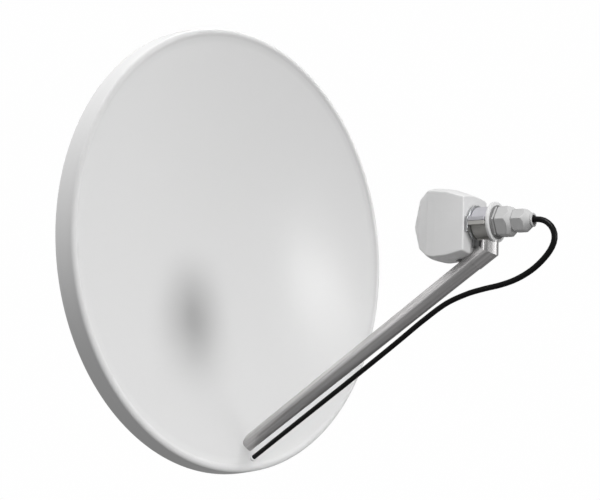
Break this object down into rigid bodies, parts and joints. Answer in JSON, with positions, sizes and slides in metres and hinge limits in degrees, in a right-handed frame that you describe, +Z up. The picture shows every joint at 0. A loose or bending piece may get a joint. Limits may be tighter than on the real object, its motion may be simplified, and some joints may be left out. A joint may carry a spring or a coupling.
{
  "type": "wireless dish antenna",
  "caption": "Pressed parabolic reflector with a metal feed arm, faceted feed unit with cable gland and lead, and a rear mast bracket with U-bolts.",
  "frame": {"origin": "middle of the mast bracket's flat rear face, where a mast or post bears", "axes": "+Y points out of that face, away from the reflector; the reflector faces -Y; +Z is up"},
  "size_m": [0.7634, 0.77, 0.8014],
  "materials": {
    "paint": "semi-gloss light grey powder coat",
    "plastic": "satin white moulded plastic",
    "tube": "satin drawn metal tube",
    "clamp": "satin cast",
    "steel": "zinc plated",
    "rubber": "matte black rubber",
    "jacket": "black cable jacket, slight sheen"
  },
  "bodies": {
    "root": {"arm_elbow": "tube", "arm_end_cap": "rubber", "arm_lock_bolt": "steel", "arm_socket": "steel", "arm_tube": "tube", "cable": "jacket", "cable_entry": "plastic", "cable_entry_nut": "plastic", "clamp_bolt": "steel", "clamp_lower": "clamp", "clamp_upper": "clamp", "feed_housing": "plastic", "feed_neck": "plastic", "flange_gasket": "plastic", "gland_body": "plastic", "gland_nut": "plastic", "gland_seal": "rubber", "hanger_plate": "steel", "lock_bolt_l": "steel", "lock_bolt_r": "steel", "mast_bracket": "steel", "mount_stud_1": "steel", "mount_stud_2": "steel", "mount_stud_3": "steel", "mount_stud_4": "steel", "neck_flange": "plastic", "pivot_bolt_l": "steel", "pivot_bolt_r": "steel", "radome_cover": "plastic", "reflector": "paint", "reflector_bracket": "steel", "socket_stud_1": "steel", "socket_stud_2": "steel", "socket_stud_3": "steel", "socket_stud_4": "steel", "stud_spacer_1": "plastic", "stud_spacer_2": "plastic", "stud_spacer_3": "plastic", "stud_spacer_4": "plastic", "u_bolt_lower": "steel", "u_bolt_lower_nut_l": "steel", "u_bolt_lower_nut_r": "steel", "u_bolt_upper": "steel", "u_bolt_upper_nut_l": "steel", "u_bolt_upper_nut_r": "steel"}
  },
  "joints": []
}
